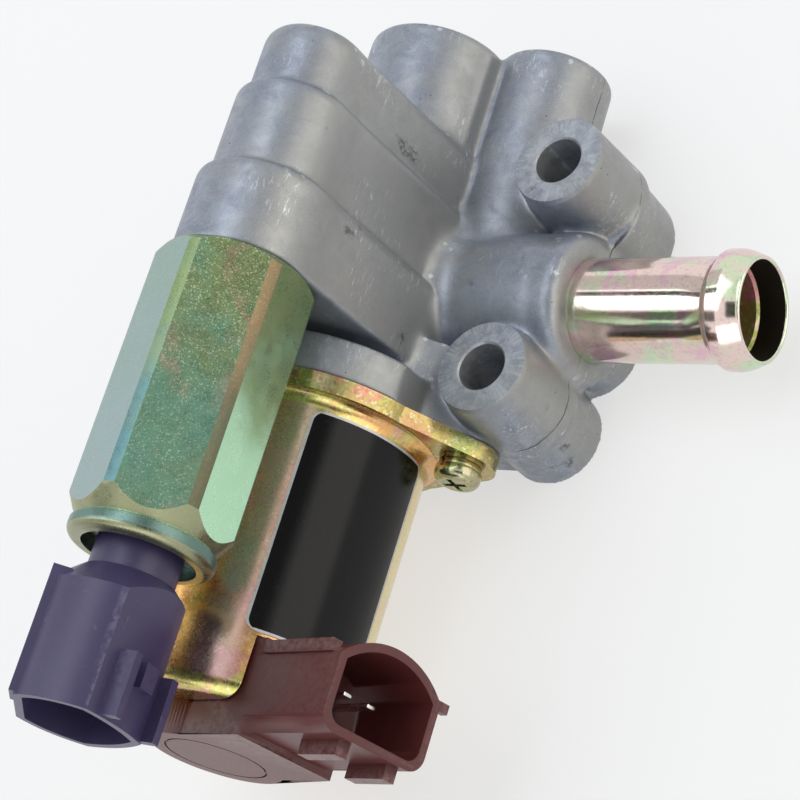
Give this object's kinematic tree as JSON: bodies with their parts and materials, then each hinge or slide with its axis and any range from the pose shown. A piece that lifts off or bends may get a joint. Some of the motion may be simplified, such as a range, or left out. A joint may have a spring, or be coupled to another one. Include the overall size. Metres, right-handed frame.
{
  "type": "idle air control valve",
  "caption": "Cast valve housing with a can solenoid, a hexagonal solenoid, two connectors, a hose nipple and bolt bosses; plungers open air passages.",
  "frame": {"origin": "centre of the mounting face, midway between the two fixing bolts", "axes": "+X along the hose nipple outward, +Y along the valve from the connectors to the closed ends of the housing, +Z out of the mounting face towards the front faces of the bolt bosses"},
  "size_m": [0.1011, 0.1432, 0.0726],
  "materials": {
    "cast": "die-cast, satin, fine pores",
    "plated": "drawn steel with yellow zinc chromate",
    "plated_green": "turned steel with green-gold zinc chromate",
    "label_black": "satin black film with a pale border",
    "screw_steel": "zinc-plated steel",
    "seal_rubber": "matt",
    "bobbin_nylon": "natural moulded plastic",
    "winding": "enamelled copper wire",
    "sleeve_metal": "smooth drawn tube",
    "core_steel": "turned soft iron",
    "spring_steel": "drawn spring wire",
    "valve_brass": "turned",
    "plug_maroon": "moulded, satin",
    "plug_purple": "moulded, satin",
    "contact": "tinned",
    "plate_steel": "dull steel"
  },
  "bodies": {
    "valve_body": {"housing": "cast", "hose_nipple": "plated", "solenoid_flange": "plated", "solenoid_can": "plated", "label": "label_black", "flange_screws": "screw_steel", "spring_washers": "screw_steel", "flange_o_ring": "seal_rubber", "main_bobbin": "bobbin_nylon", "main_coil": "winding", "guide_sleeve": "sleeve_metal", "main_core": "core_steel", "main_spring": "spring_steel", "main_connector": "plug_maroon", "main_terminals": "contact", "hex_body": "plated_green", "hex_o_ring": "seal_rubber", "back_plate": "plate_steel", "second_bobbin": "bobbin_nylon", "second_coil": "winding", "second_core": "core_steel", "second_spring": "spring_steel", "second_connector": "plug_purple", "second_terminals": "contact"},
    "main_armature": {"main_plunger": "core_steel", "main_valve": "valve_brass"},
    "second_armature": {"second_plunger": "core_steel", "second_valve_pad": "seal_rubber"}
  },
  "joints": [
    {"name": "main_valve_slide", "type": "slide", "parent": "valve_body", "child": "main_armature", "axis": [0, -1, 0], "range_m": [0, 0.003], "stiffness_N_per_m": 800, "springref_m": -0.002, "deforming": ["main_spring"]},
    {"name": "second_valve_slide", "type": "slide", "parent": "valve_body", "child": "second_armature", "axis": [0, -1, 0], "range_m": [0, 0.0015], "stiffness_N_per_m": 600, "springref_m": -0.0015, "deforming": ["second_spring"]}
  ]
}
